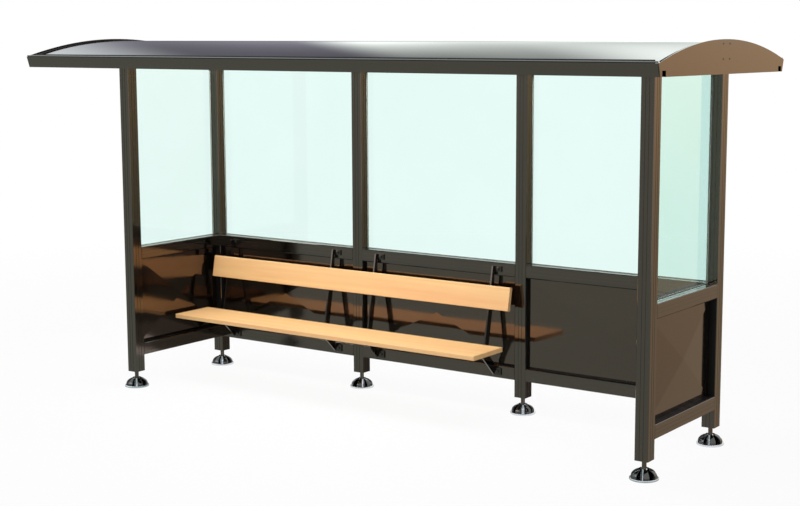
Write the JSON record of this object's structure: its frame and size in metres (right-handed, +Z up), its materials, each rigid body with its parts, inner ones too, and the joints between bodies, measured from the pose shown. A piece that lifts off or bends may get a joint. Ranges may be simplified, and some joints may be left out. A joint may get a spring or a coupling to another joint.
{
  "type": "bus shelter",
  "caption": "Open-fronted bus shelter: dark profile frame on levelling feet, clear glass over pressed panels on back and ends, arched roof, timber bench with back rest.",
  "frame": {"origin": "on the ground under the middle of the roof", "axes": "+X along the shelter, +Y towards the back wall, +Z up; the open front faces -Y"},
  "size_m": [4.446, 1.546, 2.3224],
  "materials": {
    "frame": "dark bronze satin coating on extruded profile",
    "panel": "dark bronze gloss coating on pressed sheet",
    "roof": "dark tinted smooth sheet",
    "glass": "clear pane with a pale green tint",
    "timber": "oiled pale timber",
    "bracket": "black gloss paint",
    "foot": "polished chromed casting"
  },
  "bodies": {
    "root": {"back_beam": "frame", "back_glass_1": "glass", "back_glass_2": "glass", "back_glass_3": "glass", "back_inner_1_foot": "foot", "back_inner_1_post": "frame", "back_inner_2_foot": "foot", "back_inner_2_post": "frame", "back_left_foot": "foot", "back_left_post": "frame", "back_low_rail_1": "frame", "back_low_rail_2": "frame", "back_low_rail_3": "frame", "back_mid_rail_1": "frame", "back_mid_rail_2": "frame", "back_mid_rail_3": "frame", "back_panel_1": "panel", "back_panel_2": "panel", "back_panel_3": "panel", "back_right_foot": "foot", "back_right_post": "frame", "bench_back_rest": "timber", "bench_bracket_1": "bracket", "bench_bracket_2": "bracket", "bench_bracket_3": "bracket", "bench_bracket_4": "bracket", "bench_seat": "timber", "front_beam": "frame", "front_left_foot": "foot", "front_left_post": "frame", "front_right_foot": "foot", "front_right_post": "frame", "left_gable": "frame", "left_glass": "glass", "left_low_rail": "frame", "left_mid_rail": "frame", "left_panel": "panel", "left_top_rail": "frame", "right_gable": "frame", "right_glass": "glass", "right_low_rail": "frame", "right_mid_rail": "frame", "right_panel": "panel", "right_top_rail": "frame", "roof_back_edge": "frame", "roof_front_edge": "frame", "roof_rib_1": "frame", "roof_rib_2": "frame", "roof_rib_3": "frame", "roof_rib_4": "frame", "roof_sheet": "roof"}
  },
  "joints": []
}
